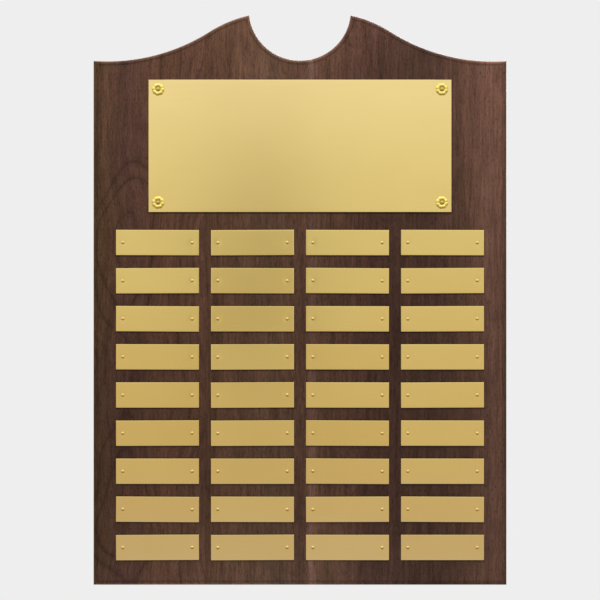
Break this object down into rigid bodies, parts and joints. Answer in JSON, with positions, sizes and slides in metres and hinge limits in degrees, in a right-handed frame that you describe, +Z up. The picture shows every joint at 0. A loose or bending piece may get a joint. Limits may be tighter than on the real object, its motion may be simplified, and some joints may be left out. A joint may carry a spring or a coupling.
{
  "type": "wall-hung award plaque",
  "caption": "Walnut wall plaque with a swan-neck top and half-round notch, a brass title plate on rosettes and a grid of pinned brass name plates.",
  "frame": {"origin": "centre of the flat back face, which lies against the wall", "axes": "+Z up, +X to the right of someone facing the plaque, -Y out of the front; the back face looks along +Y"},
  "size_m": [0.381, 0.0217, 0.5254],
  "materials": {
    "walnut": "satin lacquer",
    "title_brass": "satin, lacquered",
    "name_brass": "satin, lacquered",
    "rosette_brass": "bright, stamped",
    "nail_copper": "polished",
    "pin_brass": "polished",
    "hanger_steel": "zinc plated",
    "screw_steel": "zinc plated"
  },
  "bodies": {
    "root": {"stave_left": "walnut", "stave_centre_left": "walnut", "stave_centre_right": "walnut", "stave_right": "walnut", "title_plate": "title_brass", "rosette_top_left": "rosette_brass", "rosette_top_right": "rosette_brass", "rosette_bottom_left": "rosette_brass", "rosette_bottom_right": "rosette_brass", "rosette_nails": "nail_copper", "name_plate_row_1_column_1": "name_brass", "name_plate_row_1_column_2": "name_brass", "name_plate_row_1_column_3": "name_brass", "name_plate_row_1_column_4": "name_brass", "name_plate_row_2_column_1": "name_brass", "name_plate_row_2_column_2": "name_brass", "name_plate_row_2_column_3": "name_brass", "name_plate_row_2_column_4": "name_brass", "name_plate_row_3_column_1": "name_brass", "name_plate_row_3_column_2": "name_brass", "name_plate_row_3_column_3": "name_brass", "name_plate_row_3_column_4": "name_brass", "name_plate_row_4_column_1": "name_brass", "name_plate_row_4_column_2": "name_brass", "name_plate_row_4_column_3": "name_brass", "name_plate_row_4_column_4": "name_brass", "name_plate_row_5_column_1": "name_brass", "name_plate_row_5_column_2": "name_brass", "name_plate_row_5_column_3": "name_brass", "name_plate_row_5_column_4": "name_brass", "name_plate_row_6_column_1": "name_brass", "name_plate_row_6_column_2": "name_brass", "name_plate_row_6_column_3": "name_brass", "name_plate_row_6_column_4": "name_brass", "name_plate_row_7_column_1": "name_brass", "name_plate_row_7_column_2": "name_brass", "name_plate_row_7_column_3": "name_brass", "name_plate_row_7_column_4": "name_brass", "name_plate_row_8_column_1": "name_brass", "name_plate_row_8_column_2": "name_brass", "name_plate_row_8_column_3": "name_brass", "name_plate_row_8_column_4": "name_brass", "name_plate_row_9_column_1": "name_brass", "name_plate_row_9_column_2": "name_brass", "name_plate_row_9_column_3": "name_brass", "name_plate_row_9_column_4": "name_brass", "name_plate_pins_column_1": "pin_brass", "name_plate_pins_column_2": "pin_brass", "name_plate_pins_column_3": "pin_brass", "name_plate_pins_column_4": "pin_brass", "keyhole_hanger_left": "hanger_steel", "keyhole_hanger_right": "hanger_steel", "hanger_screws": "screw_steel"}
  },
  "joints": []
}
